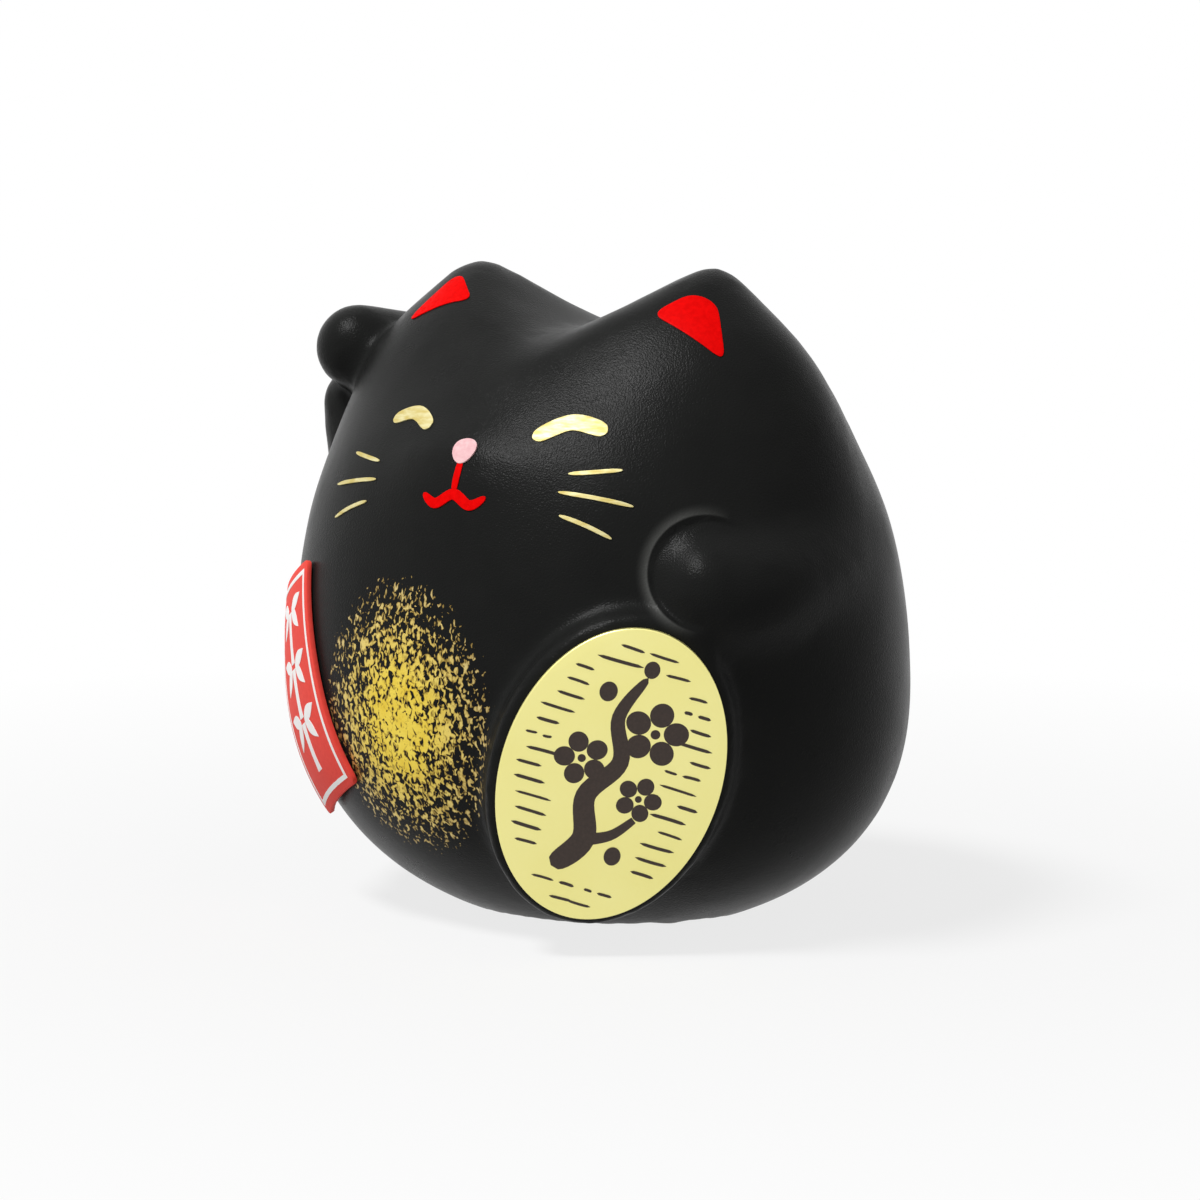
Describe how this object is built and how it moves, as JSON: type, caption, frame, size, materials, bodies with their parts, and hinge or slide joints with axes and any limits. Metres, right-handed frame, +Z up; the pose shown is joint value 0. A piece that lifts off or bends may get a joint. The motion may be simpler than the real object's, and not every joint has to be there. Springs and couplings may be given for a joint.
{
  "type": "lucky cat figurine",
  "caption": "Egg-shaped ceramic lucky cat that sits with one paw raised beside its ear, an oval gilt coin label on the belly, a red tag on the flank and a painted face.",
  "frame": {"origin": "on the ground plane under the foot, below the middle of the whole figurine's box", "axes": "+Z up out of the head, -Y the way the cat faces, +X to the cat's own left"},
  "size_m": [0.0638, 0.0566, 0.0611],
  "materials": {
    "black_body": "satin black with a fine grain",
    "gilt_label": "pale gold foil, satin",
    "red_card": "matte red with a pale border line",
    "red_enamel": "satin red",
    "pink_enamel": "satin pink",
    "gold_enamel": "brushed gold"
  },
  "bodies": {
    "root": {"ceramic_body": "black_body", "coin_label": "gilt_label", "fortune_tag": "red_card", "nose": "pink_enamel", "mouth_stem": "red_enamel", "mouth": "red_enamel", "ear_paint_left": "red_enamel", "ear_paint_right": "red_enamel", "eye_left": "gold_enamel", "eye_right": "gold_enamel", "whisker_left_upper": "gold_enamel", "whisker_left_middle": "gold_enamel", "whisker_left_lower": "gold_enamel", "whisker_right_upper": "gold_enamel", "whisker_right_middle": "gold_enamel", "whisker_right_lower": "gold_enamel"}
  },
  "joints": []
}
